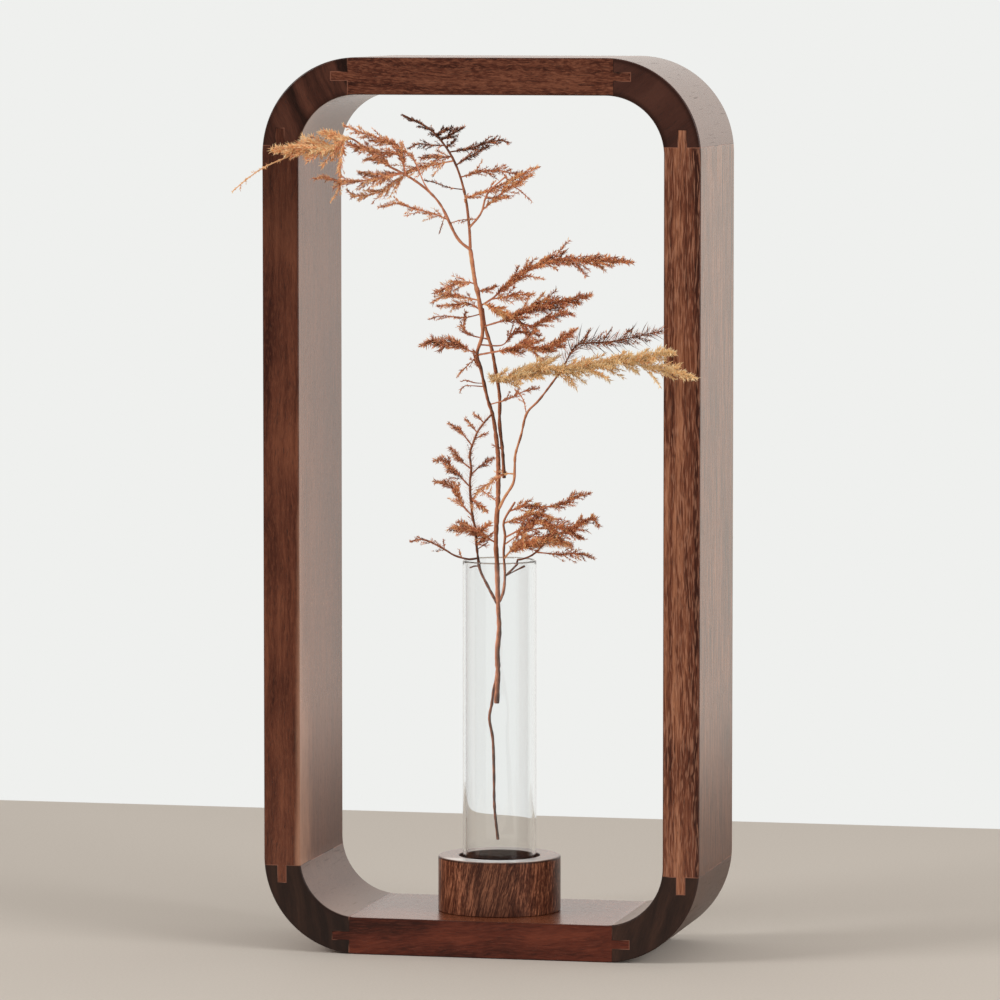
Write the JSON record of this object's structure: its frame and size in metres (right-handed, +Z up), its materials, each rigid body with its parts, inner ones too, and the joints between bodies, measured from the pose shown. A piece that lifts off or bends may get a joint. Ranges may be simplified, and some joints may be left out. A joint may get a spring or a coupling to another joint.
{
  "type": "wooden vase stand",
  "caption": "Upright rounded wooden frame with a turned holder on its bottom rail, a removable glass tube for a flower and a dried feathery sprig.",
  "frame": {"origin": "middle of the bottom rail's underside, which the stand rests on", "axes": "+Z up, +X to the right seen from the front, the front of the stand faces -Y"},
  "size_m": [0.1872, 0.0983, 0.363],
  "materials": {
    "wood_rail": "oiled walnut, satin",
    "wood_post_left": "oiled walnut, satin",
    "wood_post_right": "oiled walnut with dark streaks, satin",
    "wood_corner": "dark oiled walnut, satin",
    "wood_holder": "turned walnut, satin",
    "screw": "zinc-plated steel",
    "glass": "clear borosilicate glass, fire-polished rim",
    "sprig_bark": "dry bark, matt",
    "sprig_leaf": "dried leaflets, matt",
    "sprig_pale_leaf": "dried pale leaflets, matt"
  },
  "bodies": {
    "stand": {"bottom_rail": "wood_rail", "top_rail": "wood_rail", "left_post": "wood_post_left", "right_post": "wood_post_right", "corner_bottom_left": "wood_corner", "corner_bottom_right": "wood_corner", "corner_top_left": "wood_corner", "corner_top_right": "wood_corner", "tube_holder": "wood_holder", "holder_screw_left": "screw", "holder_screw_right": "screw"},
    "tube": {"glass_tube": "glass"},
    "sprig": {"sprig_stem": "sprig_bark", "sprig_back_stem": "sprig_bark", "sprig_left_branch": "sprig_leaf", "sprig_right_branch": "sprig_leaf", "sprig_long_branch": "sprig_pale_leaf", "sprig_high_frond": "sprig_leaf", "sprig_middle_frond": "sprig_leaf", "sprig_low_frond": "sprig_leaf", "sprig_crown": "sprig_leaf", "sprig_crown_left": "sprig_leaf"}
  },
  "joints": [
    {"name": "tube_lift", "type": "slide", "parent": "stand", "child": "tube", "axis": [0, 0, 1], "range_m": [0, 0.04]},
    {"name": "sprig_lift", "type": "slide", "parent": "tube", "child": "sprig", "axis": [0, 0, 1], "range_m": [0, 0.035]}
  ]
}
